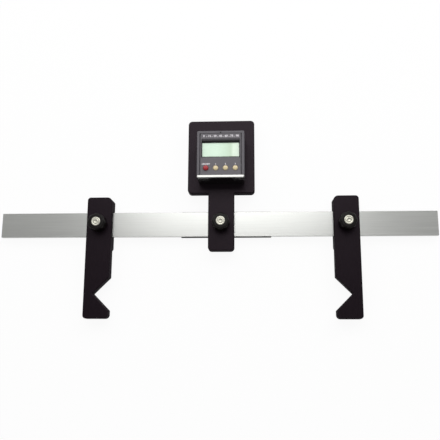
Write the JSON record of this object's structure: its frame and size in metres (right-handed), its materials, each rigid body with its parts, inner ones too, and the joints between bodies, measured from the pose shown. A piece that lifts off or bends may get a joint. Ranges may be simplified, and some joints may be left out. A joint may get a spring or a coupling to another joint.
{
  "type": "camber caster gauge",
  "caption": "Wheel alignment gauge: a flat bar carries sliding notched arms and a protractor head, each clamped by a thumb knob.",
  "frame": {"origin": "on the bar's centreline, halfway along it, in the plane of the keepers' backs that the gauge rests on", "axes": "+X along the bar to the right as the display is read, +Y up the head, +Z out of the display"},
  "size_m": [0.5588, 0.2564, 0.0527],
  "materials": {
    "bar_aluminium": "brushed along its length",
    "black_acetal": "machined",
    "insert_brass": "turned",
    "pad_nylon": "moulded",
    "stud_steel": "turned and nickel plated",
    "knob_plastic": "moulded",
    "channel_steel": "black powder coat",
    "case_paint": "satin grey paint",
    "base_aluminium": "machined",
    "cover_aluminium": "mill finish",
    "panel_plastic": "moulded, satin",
    "bezel_plastic": "moulded",
    "display_cell": "grey-green liquid crystal cell",
    "holder_plastic": "moulded",
    "board_laminate": "solder mask",
    "switch_plastic": "moulded",
    "sensor_can": "drawn",
    "tray_plastic": "moulded",
    "contact_steel": "nickel plated",
    "cell_jacket": "shrink sleeve",
    "red_button": "moulded",
    "cream_button": "moulded"
  },
  "bodies": {
    "bar": {"bar": "bar_aluminium"},
    "left_carriage": {"left_arm": "black_acetal", "left_keeper": "black_acetal", "left_insert": "insert_brass"},
    "left_clamp_pad": {"left_pad": "pad_nylon"},
    "left_clamp_knob": {"left_stud": "stud_steel", "left_knob": "knob_plastic"},
    "right_carriage": {"right_arm": "black_acetal", "right_keeper": "black_acetal", "right_insert": "insert_brass"},
    "right_clamp_pad": {"right_pad": "pad_nylon"},
    "right_clamp_knob": {"right_stud": "stud_steel", "right_knob": "knob_plastic"},
    "head_carriage": {"head_plate": "black_acetal", "head_keeper": "black_acetal", "squaring_channel": "channel_steel", "head_insert": "insert_brass", "protractor_case": "case_paint", "protractor_base": "base_aluminium", "rear_cover": "cover_aluminium", "face_panel": "panel_plastic", "display_bezel": "bezel_plastic", "display_glass": "display_cell", "display_holder": "holder_plastic", "circuit_board": "board_laminate", "key_switches": "switch_plastic", "tilt_sensor": "sensor_can", "cell_tray": "tray_plastic", "cell_contacts": "contact_steel", "cells": "cell_jacket"},
    "head_clamp_pad": {"head_pad": "pad_nylon"},
    "head_clamp_knob": {"head_stud": "stud_steel", "head_knob": "knob_plastic"},
    "power_key": {"power_button": "red_button"},
    "zero_key": {"zero_button": "cream_button"},
    "hold_key": {"hold_button": "cream_button"},
    "range_key": {"range_button": "cream_button"}
  },
  "joints": [
    {"name": "left_arm_slide", "type": "slide", "parent": "bar", "child": "left_carriage", "axis": [1, 0, 0], "range_m": [-0.113, 0.056]},
    {"name": "right_arm_slide", "type": "slide", "parent": "bar", "child": "right_carriage", "axis": [1, 0, 0], "range_m": [-0.048, 0.098]},
    {"name": "head_slide", "type": "slide", "parent": "bar", "child": "head_carriage", "axis": [1, 0, 0], "range_m": [-0.028, 0.028]},
    {"name": "left_pad_lift", "type": "slide", "parent": "left_carriage", "child": "left_clamp_pad", "axis": [0, 0, 1], "range_m": [0, 0.001]},
    {"name": "left_knob_turn", "type": "hinge", "parent": "left_clamp_pad", "child": "left_clamp_knob", "pos_m": [-0.15, 0, 0.02], "axis": [0, 0, 1], "range_deg": [0, 360]},
    {"name": "right_pad_lift", "type": "slide", "parent": "right_carriage", "child": "right_clamp_pad", "axis": [0, 0, 1], "range_m": [0, 0.001]},
    {"name": "right_knob_turn", "type": "hinge", "parent": "right_clamp_pad", "child": "right_clamp_knob", "pos_m": [0.1646, 0, 0.02], "axis": [0, 0, 1], "range_deg": [0, 360]},
    {"name": "head_pad_lift", "type": "slide", "parent": "head_carriage", "child": "head_clamp_pad", "axis": [0, 0, 1], "range_m": [0, 0.001]},
    {"name": "head_knob_turn", "type": "hinge", "parent": "head_clamp_pad", "child": "head_clamp_knob", "pos_m": [0.0065, 0, 0.02], "axis": [0, 0, 1], "range_deg": [0, 360]},
    {"name": "power_press", "type": "slide", "parent": "head_carriage", "child": "power_key", "axis": [0, 0, -1], "range_m": [0, 0.0008], "stiffness_N_per_m": 1200, "springref_m": -0.0003},
    {"name": "zero_press", "type": "slide", "parent": "head_carriage", "child": "zero_key", "axis": [0, 0, -1], "range_m": [0, 0.0008], "stiffness_N_per_m": 1200, "springref_m": -0.0003},
    {"name": "hold_press", "type": "slide", "parent": "head_carriage", "child": "hold_key", "axis": [0, 0, -1], "range_m": [0, 0.0008], "stiffness_N_per_m": 1200, "springref_m": -0.0003},
    {"name": "range_press", "type": "slide", "parent": "head_carriage", "child": "range_key", "axis": [0, 0, -1], "range_m": [0, 0.0008], "stiffness_N_per_m": 1200, "springref_m": -0.0003}
  ],
  "couplings": [
    {"joint": "left_knob_turn", "follows": "left_pad_lift", "rad_per_m": 6283.2},
    {"joint": "right_knob_turn", "follows": "right_pad_lift", "rad_per_m": 6283.2},
    {"joint": "head_knob_turn", "follows": "head_pad_lift", "rad_per_m": 6283.2}
  ]
}
